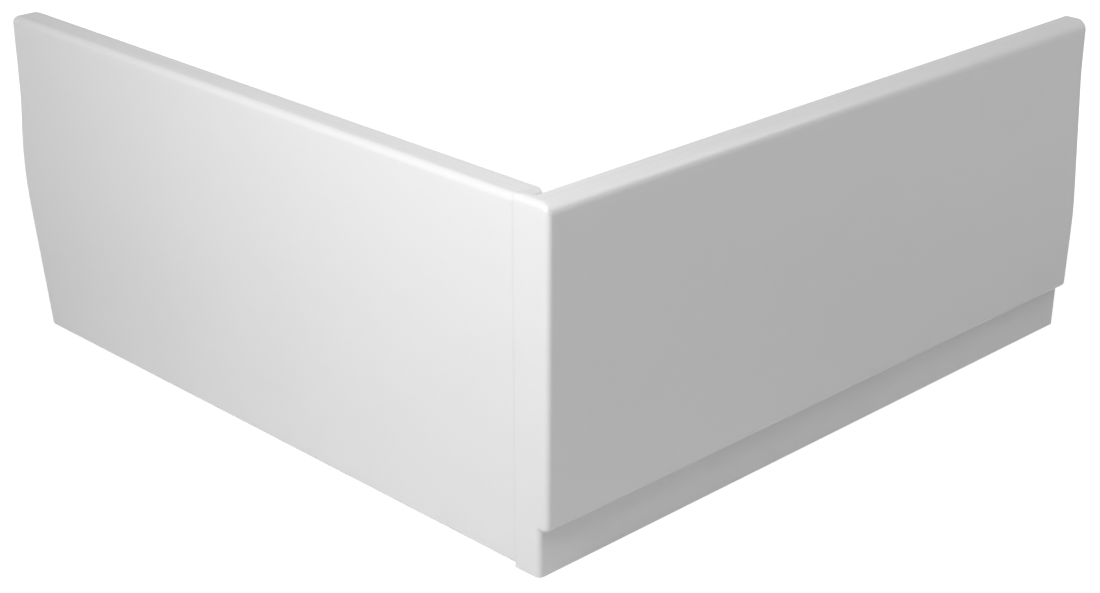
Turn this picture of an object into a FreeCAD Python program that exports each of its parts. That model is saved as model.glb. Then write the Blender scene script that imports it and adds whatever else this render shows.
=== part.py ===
import FreeCAD, Part
import os
from math import acos, sin, tan
from FreeCAD import Vector

# Bath panel set: a front panel with a corner return and a stepped plinth, and an end panel
# that is lapped behind the edge of that return. Each is one formed sheet, a tray open at the
# back. Modelled from the outer corner of the L at floor level: the front panel runs along +X
# and faces -Y, the end panel runs along +Y and faces -X, and "in" is towards the bath.

# Overall sizes, mm
panel_height = 540.0
front_length = 1210.0      # outer corner to the wall end of the front panel's lip
end_length = 1188.0        # end panel alone, along its lip
wall = 4.0                 # formed sheet

# Front panel
front_lip_depth = 39.0     # from the face to the back edge of the top lip
return_width = 65.0        # corner return, from the face to its free edge
return_lip_run = 27.0      # over this depth the return's lip narrows to the front lip
front_draft = 3.0          # the face leans in by this at its lower edge
plinth_height = 72.0
plinth_setback = 18.0
front_rim_radius = 13.0    # face and return to top lip
sill_radius = 10.0         # lower edge of the face, above the step
step_radius = 3.0          # inner corner between step and plinth
corner_radius = 8.5        # face to corner return
front_end_band = 85.0      # upright stretch at the top of the wall end
front_end_bow = 21.0       # below it the end stands out by this at its fullest
front_end_bow_height = 208.0
front_end_foot = 11.0      # and by this at the floor

# End panel
lap = 6.0                  # length of the end panel that the return covers
lap_clearance = 0.3        # between the return's inner skin and the end panel
end_lip_depth = 44.0       # from the face to the back edge of the lip and the lapped end's return
end_return_depth = 24.0    # return of the wall end, from the face
end_foot_depth = 22.0      # bottom return, from the face
lip_corner_radius = 20.0   # back corner of the lip at the wall end, in plan
end_draft = 2.5            # the face leans in by this at the floor
end_rim_radius = 11.0      # face to top lip
end_radius = 6.5           # round both ends
foot_radius = 5.0          # face and ends to bottom return
end_band = 140.0           # upright stretch at the top of the wall end
end_bow = 14.5             # below it the end stands out by this at its fullest
end_bow_height = 272.0
end_relief = 33.0          # and is cut back by this at the floor

# Both panels
end_bend_radius = 440.0    # bends in the outline of a wall end

least_radius = 0.5         # of an inner edge where the sheet is thicker than the radius
same_place = 0.01          # two places closer than this are one
reach = 100.0              # spare length of a cutting body past the sheet

end_face = wall + lap_clearance
end_top = panel_height - wall - lap_clearance
end_start = return_width - lap
end_back = end_face + end_lip_depth


def outline_face(corners):
    """Flat face inside a closed outline; each corner is a point and the radius that rounds it.

    Two arcs that meet on a short straight run share it as their radii.
    """
    edges = []
    joins = []
    for index, (point, radius) in enumerate(corners):
        if radius <= 0:
            joins.append((point, point))
            continue
        before, radius_before = corners[index - 1]
        after, radius_after = corners[(index + 1) % len(corners)]
        back = before - point
        ahead = after - point
        back_share = back.Length * radius / (radius + radius_before)
        ahead_share = ahead.Length * radius / (radius + radius_after)
        back.normalize()
        ahead.normalize()
        half_angle = acos(back.dot(ahead)) / 2
        radius = min(radius, min(back_share, ahead_share) * tan(half_angle))
        start = point + back * (radius / tan(half_angle))
        end = point + ahead * (radius / tan(half_angle))
        to_centre = (back + ahead).normalize()
        middle = point + to_centre * (radius / sin(half_angle) - radius)
        edges.append(Part.Arc(start, middle, end).toShape())
        joins.append((start, end))
    for index, (start, end) in enumerate(joins):
        run_start = joins[index - 1][1]
        if (start - run_start).Length > same_place:
            edges.append(Part.makeLine(run_start, start))
    return Part.Face(Part.Wire(Part.sortEdges(edges)[0]))


def edges_where(shape, test):
    """Edges of a shape whose bounding box passes the test."""
    return [edge for edge in shape.Edges if test(edge.BoundBox)]


def near(value, target):
    return abs(value - target) < same_place


def skin_radius(radius, inset):
    """Radius of an outward edge on the skin that lies inset behind the outer one."""
    return max(radius - inset, least_radius)


def front_body(inset):
    """Solid behind the outer skin of the front panel, or behind its inner skin when inset."""
    back = return_width + reach
    top = panel_height - inset
    sill = plinth_height + inset
    plinth = plinth_setback + inset
    section = outline_face([
        (Vector(inset, back, top), 0),
        (Vector(inset, inset, top), 0),
        (Vector(inset, inset + front_draft, sill), skin_radius(sill_radius, inset)),
        (Vector(inset, plinth, sill), step_radius + inset),
        (Vector(inset, plinth, -inset), 0),
        (Vector(inset, back, -inset), 0),
    ])
    block = section.extrude(Vector(front_length + reach, 0, 0))

    def on_corner(b):
        return near(b.XMax, inset) and b.YMax < plinth + same_place

    def on_rim(b):
        on_face = near(b.YMax, inset) or near(b.XMax, inset)
        return near(b.ZMin, top) and on_face

    block = block.makeFillet(skin_radius(corner_radius, inset), edges_where(block, on_corner))
    return block.makeFillet(skin_radius(front_rim_radius, inset), edges_where(block, on_rim))


def front_footprint():
    """Plan of the front panel: a strip under the lip, and the return with its tapered lip."""
    plan = outline_face([
        (Vector(-reach, -reach, 0), 0),
        (Vector(front_length + reach, -reach, 0), 0),
        (Vector(front_length + reach, front_lip_depth, 0), 0),
        (Vector(return_lip_run, front_lip_depth, 0), 0),
        (Vector(wall, return_width, 0), 0),
        (Vector(-reach, return_width, 0), 0),
    ])
    return plan.extrude(Vector(0, 0, panel_height))


def front_elevation():
    """Room for the front panel seen along Y, with its wall end cut to a shallow bow."""
    elevation = outline_face([
        (Vector(-reach, -reach, 0), 0),
        (Vector(-reach, -reach, panel_height), 0),
        (Vector(front_length, -reach, panel_height), 0),
        (Vector(front_length, -reach, panel_height - front_end_band), end_bend_radius),
        (Vector(front_length + front_end_bow, -reach, front_end_bow_height), end_bend_radius),
        (Vector(front_length + front_end_foot, -reach, 0), 0),
    ])
    return elevation.extrude(Vector(0, 2 * reach + return_width, 0))


def make_front_panel():
    """Face, top lip, corner return and plinth as one sheet, open at the wall end."""
    shell = front_body(0.0).cut(front_body(wall))
    trimmed = shell.common(front_footprint()).common(front_elevation())
    return trimmed.removeSplitter().Solids[0]


def end_body(inset):
    """Solid behind the outer skin of the end panel, or behind its inner skin when inset."""
    past_back = reach if inset else 0.0
    back = end_back + past_back
    face = end_face + inset
    top = end_top - inset
    start = end_start + inset
    finish = end_start + end_length - inset
    section = outline_face([
        (Vector(back, start, top), 0),
        (Vector(face, start, top), 0),
        (Vector(face + end_draft, start, inset), 0),
        (Vector(back, start, inset), 0),
    ])
    elevation = outline_face([
        (Vector(-reach, start, inset), 0),
        (Vector(-reach, start, top), 0),
        (Vector(-reach, finish, top), 0),
        (Vector(-reach, finish, end_top - end_band), end_bend_radius + inset),
        (Vector(-reach, finish + end_bow, end_bow_height), end_bend_radius - inset),
        (Vector(-reach, finish - end_relief, inset), 0),
    ])
    along_face = section.extrude(Vector(0, end_length + reach, 0))
    across_face = elevation.extrude(Vector(2 * reach + back, 0, 0))
    block = along_face.common(across_face).removeSplitter().Solids[0]

    def on_rim(b):
        return near(b.ZMin, top) and near(b.XMax, face)

    def on_ends(b):
        at_end = near(b.YMax, start) or b.YMin > finish - end_relief - same_place
        level = near(b.ZMin, b.ZMax) and not near(b.ZMin, top)
        return at_end and not level and not near(b.XMin, back)

    def on_foot(b):
        return near(b.ZMax, inset) and not near(b.XMin, back)

    block = block.makeFillet(skin_radius(end_rim_radius, inset), edges_where(block, on_rim))
    block = block.makeFillet(skin_radius(end_radius, inset), edges_where(block, on_ends))
    return block.makeFillet(skin_radius(foot_radius, inset), edges_where(block, on_foot))


def foot_notch():
    """Room behind the bottom return, between the two end returns."""
    inside_length = end_length - end_relief - 2 * wall
    low = Vector(end_face + end_foot_depth, end_start + wall, -reach)
    return Part.makeBox(reach, inside_length, reach + wall + foot_radius, low)


def return_notch():
    """Room behind the wall end's return, up to the bend that joins it to the lip."""
    low = Vector(end_face + end_return_depth, end_start + end_length - end_relief - 2 * wall, -reach)
    return Part.makeBox(reach, reach, reach + end_top - end_radius, low)


def lip_corner():
    """What rounding takes off the lip's back corner at the wall end."""
    centre = Vector(end_back - lip_corner_radius, end_start + end_length - lip_corner_radius, 0)
    square = Part.makeBox(reach, reach, panel_height, centre)
    return square.cut(Part.makeCylinder(lip_corner_radius, panel_height, centre))


def make_end_panel():
    """Face, top lip, two end returns and a narrow bottom return as one sheet."""
    shell = end_body(0.0).cut(end_body(wall))
    trimmed = shell.cut(foot_notch()).cut(return_notch()).cut(lip_corner())
    return trimmed.removeSplitter().Solids[0]


panels = {
    "front_panel": make_front_panel(),
    "end_panel": make_end_panel(),
}
extent = Part.makeCompound(list(panels.values())).optimalBoundingBox()
to_origin = Vector(-extent.Center.x, -extent.Center.y, -extent.ZMin)
os.makedirs("parts", exist_ok=True)
for node, panel in panels.items():
    panel.translate(to_origin)
    panel.exportStep("parts/" + node + ".step")
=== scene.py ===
from math import cos, pi, radians, sin

import bmesh
import bpy
from mathutils import Matrix, Vector


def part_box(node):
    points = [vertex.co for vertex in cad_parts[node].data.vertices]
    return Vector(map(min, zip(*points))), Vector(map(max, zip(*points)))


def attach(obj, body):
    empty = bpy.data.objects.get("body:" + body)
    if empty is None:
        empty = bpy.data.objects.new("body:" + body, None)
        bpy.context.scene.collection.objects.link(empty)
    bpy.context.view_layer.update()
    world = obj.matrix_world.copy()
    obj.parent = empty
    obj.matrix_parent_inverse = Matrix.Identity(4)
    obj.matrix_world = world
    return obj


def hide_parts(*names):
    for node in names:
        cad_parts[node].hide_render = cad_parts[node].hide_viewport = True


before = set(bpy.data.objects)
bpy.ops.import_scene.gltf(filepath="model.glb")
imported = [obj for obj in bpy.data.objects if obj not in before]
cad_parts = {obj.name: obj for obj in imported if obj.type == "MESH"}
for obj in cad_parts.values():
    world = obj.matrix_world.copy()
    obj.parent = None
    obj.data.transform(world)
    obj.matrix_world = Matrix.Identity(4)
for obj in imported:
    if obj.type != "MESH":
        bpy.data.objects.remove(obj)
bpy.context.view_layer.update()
frontLow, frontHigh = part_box("front_panel")
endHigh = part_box("end_panel")[1]
returnWidth = 0.065          # the front panel's corner return, which reaches furthest back
outerCorner = Vector((frontLow.x, frontHigh.y - returnWidth, 0))  # both faces would meet here
setHeight = frontHigh.z
print("frame loaded:", sorted(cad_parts), "corner at", tuple(round(c, 4) for c in outerCorner))


# Making of both formed sheets, from the outer corner

sheet = {
    "wall": 0.004,
    "bendRadius": 0.44,      # bends in the outline of a wall end
    "outlineRows": 26,       # level cuts that let a wall end follow its outline
    "rowsPast": 0.04,        # they reach this far up its upright band
    "cutEdge": 0.0006,       # softened edge where the sheet was trimmed
    "fineSegments": 4,
    "slots": {"outside": 0, "reverse": 1, "edge": 2},
    "near": 1e-5,            # two places closer than this are one
    "nearCut": 1e-4,         # and on a trimmed edge
    "cutReach": 1e-7,        # a cut takes up corners this close to it
    "squareOn": 0.9,         # share of a normal along an axis, on a side that faces it
    "leaning": 0.3,          # and on a side that leans towards it
}


def ramp(t, reach):  # nought, then t itself, with a smooth bend of this reach between
    if t <= -reach:
        return 0.0
    if t >= reach:
        return t
    return (t + reach) ** 2 / (4 * reach)


def endOutline(bandLow, bow, bowHeight, foot):  # how far a wall end stands out at a height
    upper = bow / (bandLow - bowHeight)
    lower = (foot - bow) / bowHeight
    bends = [(bandLow, upper), (bowHeight, lower - upper)]

    def standsOut(z):
        return sum(turn * ramp(at - z, sheet["bendRadius"] * abs(turn) / 2) for at, turn in bends)

    return standsOut


def near(a, b, tolerance=sheet["near"]):
    return abs(a - b) < tolerance


def middle(edge):
    return (edge.verts[0].co + edge.verts[1].co) / 2


def geomOf(faces):
    edges = {edge for face in faces for edge in face.edges}
    verts = {vert for face in faces for vert in face.verts}
    return list(faces) + list(edges) + list(verts)


def cutAlong(bm, faces, point, normal):
    cut = bmesh.ops.bisect_plane(
        bm, geom=geomOf(faces), dist=sheet["cutReach"], plane_co=point, plane_no=normal
    )
    return [part for part in cut["geom"] if isinstance(part, bmesh.types.BMFace)]


def trimFaces(bm, faces, point, normal):  # takes off what lies past the plane, of these faces only
    cut = cutAlong(bm, faces, point, normal)
    past = [face for face in cut if (face.calc_center_median() - Vector(point)).dot(normal) > 0]
    bmesh.ops.delete(bm, geom=past, context="FACES")


def levelCuts(bm, bandLow):
    rows = sheet["outlineRows"]
    for row in range(1, rows):
        height = (bandLow + sheet["rowsPast"]) * row / rows
        cutAlong(bm, bm.faces[:], (0, 0, height), (0, 0, 1))


def meshObject(name, bm=None):
    mesh = bpy.data.meshes.new(name)
    obj = bpy.data.objects.new(name, mesh)
    bpy.context.scene.collection.objects.link(obj)
    if bm:
        bm.to_mesh(mesh)
        bm.free()
    return obj


def sheetObject(name):
    obj = meshObject(name)
    for _ in sheet["slots"]:
        obj.data.materials.append(None)
    return obj


def applied(obj):  # the object with its modifiers made real
    graph = bpy.context.evaluated_depsgraph_get()
    graph.update()
    made = bpy.data.meshes.new_from_object(obj.evaluated_get(graph), depsgraph=graph)
    obj.modifiers.clear()
    obj.data = made
    return obj


def roundEdges(obj, bm, radiusOf, widest, segments):  # all edges are rounded in one go
    layers = bm.edges.layers.float
    weight = layers.get("bevel_weight_edge") or layers.new("bevel_weight_edge")
    for edge in bm.edges:
        edge[weight] = radiusOf(edge) / widest
    bm.to_mesh(obj.data)
    bm.free()
    bevel = obj.modifiers.new("forming", "BEVEL")
    bevel.limit_method = "WEIGHT"
    bevel.width = widest
    bevel.segments = segments
    bevel.profile = 0.5
    bevel.use_clamp_overlap = False
    return applied(obj)


def reshape(obj, change, p):
    bm = bmesh.new()
    bm.from_mesh(obj.data)
    change(bm, p)
    bm.to_mesh(obj.data)
    bm.free()


def thicken(obj):
    skin = obj.modifiers.new("wall", "SOLIDIFY")
    skin.thickness = sheet["wall"]
    skin.offset = -1
    skin.material_offset = sheet["slots"]["reverse"]
    skin.material_offset_rim = sheet["slots"]["edge"]
    return applied(obj)


def softenCuts(obj, softOf):  # softOf gives the width of a softened edge, or nought for the usual one
    bm = bmesh.new()
    bm.from_mesh(obj.data)

    def radiusOf(edge):
        if sum(face.material_index == sheet["slots"]["edge"] for face in edge.link_faces) != 1:
            return 0
        return softOf(edge) or sheet["cutEdge"]

    obj = roundEdges(obj, bm, radiusOf, sheet["wall"], sheet["fineSegments"])
    for face in obj.data.polygons:
        face.use_smooth = True
    normals = obj.modifiers.new("normals", "WEIGHTED_NORMAL")
    normals.keep_sharp = True
    return obj


def place(obj):
    obj.data.transform(Matrix.Translation(outerCorner))
    return obj


# Front panel: face, rim and lip, corner return, step and plinth

frontPanel = {
    "length": 1.210,         # along the lip
    "lipDepth": 0.039,
    "returnLipRun": 0.018,   # over this depth the return's lip narrows to the front lip
    "plinthHeight": 0.072,
    "plinthSetback": 0.018,
    "draft": 0.00305,        # the face leans in by this at the sill
    "rimRadius": 0.017,      # along the face
    "returnRimRadius": 0.010,
    "cornerRadius": 0.0085,
    "sillRadius": 0.010,
    "stepRadius": 0.003,
    "bandLow": setHeight - 0.085,  # lower end of the wall end's upright band
    "bow": 0.021,
    "bowHeight": 0.208,
    "foot": 0.011,
    "returnEdge": 0.0032,    # rounding of the return's free edge, on the outside
    "wallEdge": 0.002,       # and of the wall end
    "segments": 10,
    "stepSegments": 8,
}


def frontTray(p):  # the outside as it is formed, before it is trimmed
    sill = p["plinthHeight"]
    setback = p["plinthSetback"]
    section = [
        (returnWidth, setHeight), (0, setHeight), (p["draft"], sill),
        (setback, sill), (setback, 0), (returnWidth, 0),
    ]
    bm = bmesh.new()
    corners = [bm.verts.new((0, y, z)) for y, z in section]
    bm.faces.new(corners)
    sillCorner, stepCorner = corners[2:4]
    for corner, radius in ((sillCorner, p["sillRadius"]), (stepCorner, p["stepRadius"])):
        bmesh.ops.bevel(
            bm, geom=[corner], offset=radius, offset_type="OFFSET", affect="VERTICES",
            segments=p["stepSegments"], profile=0.5, material=-1
        )
    grown = bmesh.ops.extrude_face_region(bm, geom=bm.faces[:])["geom"]
    farVerts = [part for part in grown if isinstance(part, bmesh.types.BMVert)]
    bmesh.ops.translate(bm, verts=farVerts, vec=(p["length"], 0, 0))
    bmesh.ops.recalc_face_normals(bm, faces=bm.faces[:])
    openSides = [
        face for face in bm.faces
        if max(face.normal.x, face.normal.y) > sheet["squareOn"] or near(face.calc_center_median().z, 0)
    ]
    bmesh.ops.delete(bm, geom=openSides, context="FACES")

    def radiusOf(edge):
        mid = middle(edge)
        alongX = not near(edge.verts[0].co.x, edge.verts[1].co.x)
        if near(mid.z, setHeight) and near(mid.x, 0):
            return p["returnRimRadius"]
        if near(mid.z, setHeight) and alongX and near(mid.y, 0):
            return p["rimRadius"]
        if near(mid.x, 0) and mid.y < setback + sheet["near"] and mid.z > sheet["near"]:
            return p["cornerRadius"]
        return 0

    return roundEdges(sheetObject("front_panel_sheet"), bm, radiusOf, p["rimRadius"], p["segments"])


def trimFrontPanel(bm, p):  # narrows the lip and cuts the wall end to its outline
    rimLow = setHeight - p["rimRadius"]
    top = [face for face in bm.faces if face.calc_center_median().z > rimLow]
    cutAlong(bm, top, (0, p["lipDepth"], 0), (0, 1, 0))
    behind = [
        face for face in bm.faces
        if face.calc_center_median().z > rimLow and face.calc_center_median().y > p["lipDepth"]
    ]
    taper = Vector((sheet["wall"] - p["returnLipRun"], returnWidth - p["lipDepth"], 0))
    outward = Vector((taper.y, -taper.x, 0)).normalized()
    trimFaces(bm, behind, (p["returnLipRun"], p["lipDepth"], 0), outward)
    levelCuts(bm, p["bandLow"])
    standsOut = endOutline(p["bandLow"], p["bow"], p["bowHeight"], p["foot"])
    for vert in bm.verts:
        if near(vert.co.x, p["length"]):
            vert.co.x += standsOut(vert.co.z)


def buildFrontPanel(p):
    obj = frontTray(p)
    reshape(obj, trimFrontPanel, p)

    def softOf(edge):
        mid = middle(edge)
        if near(mid.y, returnWidth, sheet["nearCut"]) and near(mid.x, 0, sheet["nearCut"]):
            return p["returnEdge"]
        outside = any(max(-face.normal.y, face.normal.z) > sheet["leaning"] for face in edge.link_faces)
        return p["wallEdge"] if outside and mid.x > p["length"] - sheet["nearCut"] else 0

    return place(softenCuts(thicken(obj), softOf))


# End panel: face, rim and lip, two end returns, foot

endPanel = {
    "face": 0.0043,          # one wall and a clearance behind the return's face
    "start": 0.059,          # lapped by the return
    "length": 1.188,         # along the lip
    "lipDepth": 0.044,
    "returnDepth": 0.024,    # of the wall end
    "footDepth": 0.022,
    "lipCorner": 0.020,      # radius of the lip's back corner at the wall end
    "cornerCuts": 7,
    "draft": 0.0025,         # the face leans in by this at the floor
    "rimRadius": 0.011,
    "lipEndRadius": 0.010,
    "endRadius": 0.0065,
    "footRadius": 0.005,
    "bandLow": endHigh.z - 0.140,  # lower end of the wall end's upright band
    "bow": 0.01448,
    "bowHeight": 0.272,
    "relief": 0.033,         # the wall end is cut back by this at the floor
    "segments": 10,
    "footLevel": 0.99,       # downward share of the normal on the flat of the foot
}


def endTray(p):  # the outside as it is formed, before it is trimmed
    top = endHigh.z
    back = p["face"] + p["lipDepth"]
    finish = p["start"] + p["length"]
    size = Vector((p["lipDepth"], p["length"], top))
    centre = Vector((p["face"], p["start"], 0)) + size / 2
    bm = bmesh.new()
    bmesh.ops.create_cube(bm, size=1, matrix=Matrix.Translation(centre) @ Matrix.Diagonal((*size, 1)))
    for vert in bm.verts:
        if near(vert.co.z, 0) and near(vert.co.x, p["face"]):
            vert.co.x += p["draft"]
    levelCuts(bm, p["bandLow"])
    standsOut = endOutline(p["bandLow"], p["bow"], p["bowHeight"], -p["relief"])
    for vert in bm.verts:
        if near(vert.co.y, finish):
            vert.co.y += standsOut(vert.co.z)
    bm.normal_update()
    openSide = [face for face in bm.faces if face.normal.x > sheet["squareOn"]]
    bmesh.ops.delete(bm, geom=openSide, context="FACES")

    def radiusOf(edge):
        mid = middle(edge)
        alongY = abs(edge.verts[0].co.y - edge.verts[1].co.y) > p["length"] / 2
        alongX = abs(edge.verts[0].co.x - edge.verts[1].co.x) > p["lipDepth"] / 2
        if near(mid.x, back):
            return 0
        if near(mid.z, top):
            return p["rimRadius"] if alongY else p["lipEndRadius"]
        if near(mid.z, 0):
            return p["footRadius"]
        return 0 if alongX or alongY else p["endRadius"]

    return roundEdges(sheetObject("end_panel_sheet"), bm, radiusOf, p["rimRadius"], p["segments"])


def trimEndPanel(bm, p):  # narrows the foot and the wall end's return, and rounds the lip's back corner
    back = p["face"] + p["lipDepth"]
    finish = p["start"] + p["length"]
    lipLow = endHigh.z - p["endRadius"]
    foot = [
        face for face in bm.faces
        if face.normal.z < -p["footLevel"] and face.calc_area() > p["footDepth"] ** 2
    ]
    trimFaces(bm, foot, (p["face"] + p["footDepth"], 0, 0), Vector((1, 0, 0)))
    wallReturn = [
        face for face in bm.faces
        if face.calc_center_median().y > finish - p["relief"] - p["endRadius"]
        and face.calc_center_median().z < lipLow
        and face.normal.y > sheet["leaning"]
    ]
    trimFaces(bm, wallReturn, (p["face"] + p["returnDepth"], 0, 0), Vector((1, 0, 0)))
    arcCentre = Vector((back - p["lipCorner"], finish - p["lipCorner"], 0))
    for cut in range(1, p["cornerCuts"] + 1):
        turn = pi / 2 * cut / (p["cornerCuts"] + 1)
        outward = Vector((sin(turn), cos(turn), 0))
        lip = [
            face for face in bm.faces
            if face.calc_center_median().z > lipLow and face.normal.x > -sheet["leaning"]
        ]
        trimFaces(bm, lip, arcCentre + outward * p["lipCorner"], outward)


def buildEndPanel(p):
    obj = endTray(p)
    reshape(obj, trimEndPanel, p)
    return place(softenCuts(thicken(obj), lambda edge: 0))


frontSheet = buildFrontPanel(frontPanel)
print("front panel sheet:", len(frontSheet.data.polygons), "faces")
endSheet = buildEndPanel(endPanel)
print("end panel sheet:", len(endSheet.data.polygons), "faces")


# Nodes that the finishes and the studio are made of

def addNode(tree, kind, inputs=None, **settings):
    node = tree.nodes.new(kind)
    for name, value in settings.items():
        setattr(node, name, value)
    for socket, value in (inputs or {}).items():
        if isinstance(value, bpy.types.NodeSocket):
            tree.links.new(value, node.inputs[socket])
        else:
            node.inputs[socket].default_value = value
    return node


def calculated(tree, operation, *values):
    return addNode(tree, "ShaderNodeMath", dict(enumerate(values)), operation=operation).outputs[0]


def mapped(tree, value, span, result=(0, 1), **settings):
    inputs = {
        "Value": value, "From Min": span[0], "From Max": span[1],
        "To Min": result[0], "To Max": result[1],
    }
    return addNode(tree, "ShaderNodeMapRange", inputs, **settings).outputs[0]


def noise(tree, vector, scale, **inputs):
    return addNode(tree, "ShaderNodeTexNoise", {"Vector": vector, "Scale": scale, **inputs}).outputs[0]


def mixColour(tree, share, below, above):
    return addNode(tree, "ShaderNodeMix", {0: share, 6: below, 7: above}, data_type="RGBA").outputs[2]


def newGroup(name, inputs, output):
    group = bpy.data.node_groups.new(name, "ShaderNodeTree")
    for socket, kind in inputs.items():
        group.interface.new_socket(socket, in_out="INPUT", socket_type="NodeSocket" + kind)
    group.interface.new_socket(output, in_out="OUTPUT", socket_type="NodeSocketFloat")
    return group, group.nodes.new("NodeGroupInput").outputs, group.nodes.new("NodeGroupOutput").inputs


def useGroup(tree, group, inputs):
    return addNode(tree, "ShaderNodeGroup", inputs, node_tree=group).outputs[0]


# Effects that the finishes share

effectForm = {
    "lineSpan": (0.35, 0.7),  # of the noise that shows as draw lines
    "kickedGain": 0.08,       # rubs gain this at the floor
    "rubbedThrough": 0.95,    # noise at which a rub is at its fullest
}


def formedSurfaceGroup():  # fine orange peel on the long waves of a heated sheet
    inputs = {
        "Vector": "Vector", "Peel Scale": "Float", "Peel Depth": "Float",
        "Wave Scale": "Float", "Wave Depth": "Float",
    }
    group, given, out = newGroup("formedSurface", inputs, "Height")
    peel = noise(group, given["Vector"], given["Peel Scale"], Detail=2.0)
    wave = noise(group, given["Vector"], given["Wave Scale"], Detail=1.0)
    deep = calculated(group, "MULTIPLY", wave, given["Wave Depth"])
    height = calculated(group, "MULTIPLY_ADD", peel, given["Peel Depth"], deep)
    group.links.new(height, out["Height"])
    return group


def drawLinesGroup(e):  # faint lines left along the sheet's length
    inputs = {"Vector": "Vector", "Stretch": "Vector", "Contrast": "Float"}
    group, given, out = newGroup("drawLines", inputs, "Lines")
    drawn = addNode(
        group, "ShaderNodeVectorMath", {0: given["Vector"], 1: given["Stretch"]}, operation="MULTIPLY"
    )
    lines = noise(group, drawn.outputs[0], 1.0, Detail=3.0)
    group.links.new(mapped(group, lines, e["lineSpan"], (0, given["Contrast"])), out["Lines"])
    return group


def specksGroup():  # dust and small dark inclusions
    inputs = {"Vector": "Vector", "Cells": "Float", "Size": "Float", "Share": "Float"}
    group, given, out = newGroup("specks", inputs, "Mask")
    cells = addNode(
        group, "ShaderNodeTexVoronoi", {"Vector": given["Vector"], "Scale": given["Cells"]}
    ).outputs
    chance = addNode(group, "ShaderNodeSeparateColor", {0: cells["Color"]}).outputs
    chosen = calculated(group, "LESS_THAN", chance[0], given["Share"])
    grown = calculated(group, "MULTIPLY", chance[1], given["Size"])
    spot = mapped(group, cells["Distance"], (grown, 0), interpolation_type="SMOOTHSTEP")
    group.links.new(calculated(group, "MULTIPLY", chosen, spot), out["Mask"])
    return group


def rubsGroup(e):  # dull patches from handling, more of them near the floor
    inputs = {"Vector": "Vector", "Scale": "Float", "Share": "Float", "Kicked Height": "Float"}
    group, given, out = newGroup("rubs", inputs, "Mask")
    cloud = noise(group, given["Vector"], given["Scale"], Detail=6.0, Roughness=0.65, Distortion=0.6)
    position = addNode(group, "ShaderNodeSeparateXYZ", {0: given["Vector"]}).outputs
    low = mapped(group, position["Z"], (given["Kicked Height"], 0), (0, e["kickedGain"]))
    more = calculated(group, "ADD", cloud, low)
    edge = calculated(group, "SUBTRACT", 1, given["Share"])
    patch = mapped(group, more, (edge, e["rubbedThrough"]), interpolation_type="SMOOTHSTEP")
    group.links.new(patch, out["Mask"])
    return group


effects = {
    "surface": formedSurfaceGroup(),
    "lines": drawLinesGroup(effectForm),
    "specks": specksGroup(),
    "rubs": rubsGroup(effectForm),
}


# Finishes: the outside of each panel, the reverse and the trimmed edge

frontAcrylic = {
    "white": (0.86, 0.86, 0.86, 1),
    "ior": 1.49,
    "roughness": (0.285, 0.35),
    "sheenScale": 40.0,      # of the noise that varies the roughness
    "sheenSpan": (0.3, 0.7),
    "peel": {"Peel Scale": 260.0, "Peel Depth": 0.012, "Wave Scale": 9.0, "Wave Depth": 0.35},
    "depthUnit": 0.001,      # depths of the peel are in mm
    "lines": {"Stretch": (2.5, 330.0, 330.0), "Contrast": 0.55},
    "lineTone": (0.76, 0.76, 0.76, 1),
    "facesWithLines": (0.9, 0.99),  # upward share of the normal: the lip alone
    "rubs": {"Scale": 5.0, "Share": 0.5, "Kicked Height": 0.09},
    "rubTone": (0.835, 0.835, 0.835, 1),
    "rubRoughness": 0.1,
    "specks": {"Cells": 15.0, "Size": 0.022, "Share": 0.16},
    "speckTone": (0.55, 0.55, 0.54, 1),
}
endAcrylic = {
    **frontAcrylic,
    "lines": {"Stretch": (330.0, 2.5, 330.0), "Contrast": 0.55},
    "jointShadeReach": (frontHigh.y + 0.009, frontHigh.y + 0.003),  # painted shade beside the lapped joint: darker along Y towards it
    # colour of the painted shade at the lapped joint
    "jointShadeTone": (0.80, 0.80, 0.79, 1),
}
sheetReverse = {
    **frontAcrylic,
    "white": (0.80, 0.80, 0.80, 1),
    "roughness": (0.48, 0.62),
    "peel": {"Peel Scale": 140.0, "Peel Depth": 0.05, "Wave Scale": 9.0, "Wave Depth": 0.35},
    "rubTone": (0.74, 0.74, 0.73, 1),
    "specks": {"Cells": 22.0, "Size": 0.03, "Share": 0.25},
}
trimmedEdge = {
    **frontAcrylic,
    "white": (0.84, 0.84, 0.84, 1),
    "roughness": (0.40, 0.55),
    "peel": {"Peel Scale": 900.0, "Peel Depth": 0.02, "Wave Scale": 60.0, "Wave Depth": 0.08},
    "facesWithLines": (-1.2, -1.1),  # every side
}


def finishColour(tree, f, where, facing, rubs):
    lines = useGroup(tree, effects["lines"], {"Vector": where, **f["lines"]})
    specks = useGroup(tree, effects["specks"], {"Vector": where, **f["specks"]})
    upward = addNode(tree, "ShaderNodeSeparateXYZ", {0: facing}).outputs["Z"]
    linesHere = calculated(tree, "MULTIPLY", lines, mapped(tree, upward, f["facesWithLines"]))
    lined = mixColour(tree, linesHere, f["white"], f["lineTone"])
    rubbed = mixColour(tree, rubs, lined, f["rubTone"])
    specked = mixColour(tree, specks, rubbed, f["speckTone"])
    # the end panel gets painted shade along the lapped joint, darker towards it
    if "jointShadeReach" not in f:
        return specked
    along = addNode(tree, "ShaderNodeSeparateXYZ", {0: where}).outputs["Y"]
    return mixColour(tree, mapped(tree, along, f["jointShadeReach"]), specked, f["jointShadeTone"])


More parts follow.
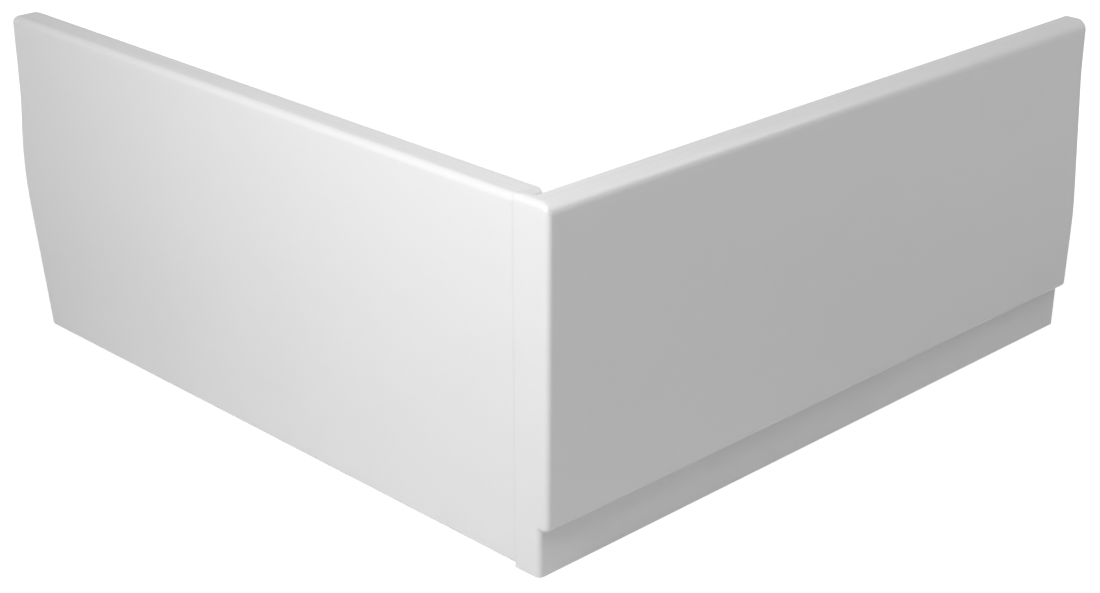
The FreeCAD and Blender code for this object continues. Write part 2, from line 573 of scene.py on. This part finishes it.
def buildFinish(name, f):
    material = bpy.data.materials.new(name)
    material.use_nodes = True
    tree = material.node_tree
    shader = tree.nodes["Principled BSDF"].inputs
    shader["IOR"].default_value = f["ior"]
    coordinates = addNode(tree, "ShaderNodeTexCoord").outputs
    where = coordinates["Object"]
    rubs = useGroup(tree, effects["rubs"], {"Vector": where, **f["rubs"]})
    tree.links.new(finishColour(tree, f, where, coordinates["Normal"], rubs), shader["Base Color"])

    sheen = noise(tree, where, f["sheenScale"], Detail=3.0)
    gloss = mapped(tree, sheen, f["sheenSpan"], f["roughness"])
    tree.links.new(calculated(tree, "MULTIPLY_ADD", rubs, f["rubRoughness"], gloss), shader["Roughness"])
    height = useGroup(tree, effects["surface"], {"Vector": where, **f["peel"]})
    bump = addNode(tree, "ShaderNodeBump", {"Strength": 1.0, "Distance": f["depthUnit"], "Height": height})
    tree.links.new(bump.outputs[0], shader["Normal"])
    return material


reverse = buildFinish("sheetReverse", sheetReverse)
trimmed = buildFinish("trimmedEdge", trimmedEdge)
pieces = [
    (frontSheet, "front_panel", buildFinish("frontAcrylic", frontAcrylic)),
    (endSheet, "end_panel", buildFinish("endAcrylic", endAcrylic)),
]
for obj, node, outside in pieces:
    for slot, finish in enumerate((outside, reverse, trimmed)):
        obj.data.materials[slot] = finish
    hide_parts(node)
    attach(obj, "root")
print("finishes:", [material.name for material in bpy.data.materials])


# Floor, light and camera

studio = {
    "lensPixels": 2165.68,   # focal length, in pixels of a picture of the next width
    "pictureWidth": 1100,
    "sensorWidth": 36.0,
    "pitch": 22.893,         # degrees below level
    "heading": 45.452,       # degrees from +X towards +Y
    "eye": (-1.76506, -1.79593, 1.48122),  # from the outer corner at the floor
    "floorSize": 60.0,
    "floorColour": (0.6, 0.6, 0.6, 1),
    "floorRoughness": 0.9,
    "floorGlow": 1.25,       # for rays that show the backdrop
    "shadowShare": 0.25,     # of the lit floor that is seen near the object
    "shadowReach": (0.9, 1.7),  # from the middle of the set, where that share fades out
    "backdrop": (1, 1, 1, 1),
    "ambient": 0.04,
    "lamps": {               # place and aim from the outer corner, side, power
        "keyLamp": ((-1.6, 0.05, 1.5), (0, 0.25, 0.3), 0.9, 25.3),
        "highLamp": ((-2.4, -0.5, 2.3), (0, 0.3, 0.3), 1.2, 12.0),
        "topLamp": ((-0.6, -0.6, 2.6), (0.2, 0.2, 0.5), 1.2, 18.4),
        "rimLamp": ((1.9, -1.0, 2.2), (0.5, 0, 0.5), 1.0, 7.2),
        "rightLamp": ((2.6, -1.8, 2.0), (0.5, 0, 0.4), 0.7, 8.0),
        "lowLamp": ((0.7, -2.1, 0.6), (0.5, 0, 0.2), 1.0, 2.3),
        "backLamp": ((1.8, 1.8, 0.27), (0.1, 0.1, 0.25), 0.5, 18.0),  # under the lips
    },
}


def seenRay(tree):  # one for a ray that shows the backdrop, nought for one that lights the object
    path = addNode(tree, "ShaderNodeLightPath").outputs
    mirrored = calculated(tree, "MAXIMUM", path["Is Glossy Ray"], path["Is Transmission Ray"])
    return calculated(tree, "MAXIMUM", path["Is Camera Ray"], mirrored)


def buildFloor(s):
    bm = bmesh.new()
    bmesh.ops.create_grid(bm, x_segments=1, y_segments=1, size=s["floorSize"] / 2)
    floor = meshObject("floor", bm)
    material = bpy.data.materials.new("paleFloor")
    material.use_nodes = True
    tree = material.node_tree
    lit = tree.nodes["Principled BSDF"]
    lit.inputs["Base Color"].default_value = s["floorColour"]
    lit.inputs["Roughness"].default_value = s["floorRoughness"]
    glow = addNode(tree, "ShaderNodeEmission", {"Strength": s["floorGlow"]})
    where = addNode(tree, "ShaderNodeTexCoord").outputs["Object"]
    distance = addNode(tree, "ShaderNodeVectorMath", {0: where}, operation="LENGTH").outputs["Value"]
    glowShare = (1 - s["shadowShare"], 1)
    spread = mapped(tree, distance, s["shadowReach"], glowShare, interpolation_type="SMOOTHSTEP")
    share = calculated(tree, "MULTIPLY", spread, seenRay(tree))
    blend = addNode(tree, "ShaderNodeMixShader", {0: share, 1: lit.outputs[0], 2: glow.outputs[0]})
    tree.links.new(blend.outputs[0], tree.nodes["Material Output"].inputs["Surface"])
    floor.data.materials.append(material)


def buildCamera(s):
    data = bpy.data.cameras.new("camera")
    data.sensor_fit = "HORIZONTAL"
    data.sensor_width = s["sensorWidth"]
    data.lens = s["lensPixels"] / s["pictureWidth"] * s["sensorWidth"]
    camera = bpy.data.objects.new("camera", data)
    camera.location = outerCorner + Vector(s["eye"])
    camera.rotation_euler = (radians(90 - s["pitch"]), 0, radians(s["heading"] - 90))
    bpy.context.scene.collection.objects.link(camera)
    bpy.context.scene.camera = camera


def buildWorld(s):
    world = bpy.data.worlds.new("studio")
    bpy.context.scene.world = world
    world.use_nodes = True
    tree = world.node_tree
    backdrop = tree.nodes["Background"].inputs
    backdrop["Color"].default_value = s["backdrop"]
    tree.links.new(mapped(tree, seenRay(tree), (0, 1), (s["ambient"], 1)), backdrop["Strength"])


def buildLamp(name, stand, aim, side, power):
    data = bpy.data.lights.new(name, "AREA")
    data.shape = "SQUARE"
    data.size = side
    data.energy = power
    lamp = bpy.data.objects.new(name, data)
    lamp.location = outerCorner + Vector(stand)
    lamp.rotation_euler = (Vector(aim) - Vector(stand)).to_track_quat("-Z", "Y").to_euler()
    bpy.context.scene.collection.objects.link(lamp)


buildFloor(studio)
buildCamera(studio)
buildWorld(studio)
for lampName, settings in studio["lamps"].items():
    buildLamp(lampName, *settings)
bpy.context.scene.view_settings.view_transform = "Standard"
print("studio ready:", len(studio["lamps"]), "lamps")
